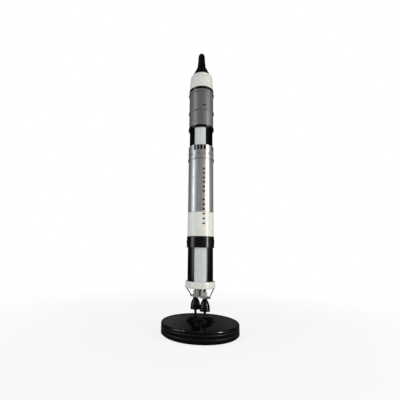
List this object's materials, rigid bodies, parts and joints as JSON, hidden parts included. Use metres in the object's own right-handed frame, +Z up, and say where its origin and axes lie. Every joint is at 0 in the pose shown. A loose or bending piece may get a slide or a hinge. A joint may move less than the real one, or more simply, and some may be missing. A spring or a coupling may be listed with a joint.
{
  "type": "rocket display model",
  "caption": "Desk display model of a two-stage rocket with a small capsule, lifted off two pins in a round base; the stages and the capsule also lift apart.",
  "frame": {"origin": "middle of the base's felt underside", "axes": "+Z up along the rocket; the two engines and their support pins lie on the X axis"},
  "size_m": [0.1764, 0.1764, 0.7105],
  "materials": {
    "black_lacquer": "gloss black lacquer",
    "felt": "short felt",
    "black_steel": "satin black",
    "steel": "zinc plated",
    "gloss_black": "gloss black paint",
    "black_plastic": "satin black",
    "capsule_black": "semi-gloss black",
    "white_plastic": "gloss white paint",
    "striped_plastic": "gloss white with two black panels",
    "silver_plastic": "silver paint",
    "grey_plastic": "dark silver paint",
    "light_grey_plastic": "light grey paint"
  },
  "bodies": {
    "stand": {"base_disc": "black_lacquer", "base_felt": "felt", "support_pin_left": "black_steel", "support_pin_right": "black_steel", "pin_ferrules": "black_steel", "pin_washers": "steel", "pin_nuts": "steel"},
    "stage_one": {"aft_barrel": "striped_plastic", "aft_bulkhead": "white_plastic", "aft_skirt": "white_plastic", "band_ring": "gloss_black", "centre_column": "black_plastic", "coupler_lower": "black_plastic", "coupler_middle": "black_plastic", "coupler_upper": "black_plastic", "engine_bell_left": "gloss_black", "engine_bell_right": "gloss_black", "engine_frame": "light_grey_plastic", "frame_struts": "light_grey_plastic", "gimbal_block_left": "black_plastic", "gimbal_block_right": "black_plastic", "interstage_collar": "silver_plastic", "interstage_deck": "black_plastic", "interstage_screws": "steel", "propellant_line_left": "black_plastic", "propellant_line_right": "black_plastic", "silver_barrel": "silver_plastic", "strut_pads": "light_grey_plastic", "thrust_chamber_left": "silver_plastic", "thrust_chamber_right": "silver_plastic", "thrust_posts": "white_plastic", "turbopump_left": "silver_plastic", "turbopump_right": "silver_plastic", "white_barrel": "white_plastic"},
    "stage_two": {"aft_bulkhead_two": "black_plastic", "stage_two_nozzle": "black_plastic", "striped_skirt": "striped_plastic", "skirt_ring": "gloss_black", "coupler_stage_two": "black_plastic", "grey_barrel": "grey_plastic", "barrel_hoops": "grey_plastic", "forward_ring": "gloss_black", "forward_bulkhead": "black_plastic"},
    "spacecraft": {"adapter_plate": "white_plastic", "equipment_adapter": "white_plastic", "retro_adapter": "white_plastic", "heat_shield": "black_plastic", "cabin": "capsule_black", "cabin_hatches": "capsule_black", "rcs_section": "capsule_black", "nose_section": "capsule_black", "nose_cap": "capsule_black"}
  },
  "joints": [
    {"name": "rocket_lift", "type": "slide", "parent": "stand", "child": "stage_one", "axis": [0, 0, 1], "range_m": [0, 0.05]},
    {"name": "stage_two_lift", "type": "slide", "parent": "stage_one", "child": "stage_two", "axis": [0, 0, 1], "range_m": [0, 0.04]},
    {"name": "spacecraft_lift", "type": "slide", "parent": "stage_two", "child": "spacecraft", "axis": [0, 0, 1], "range_m": [0, 0.03]}
  ]
}
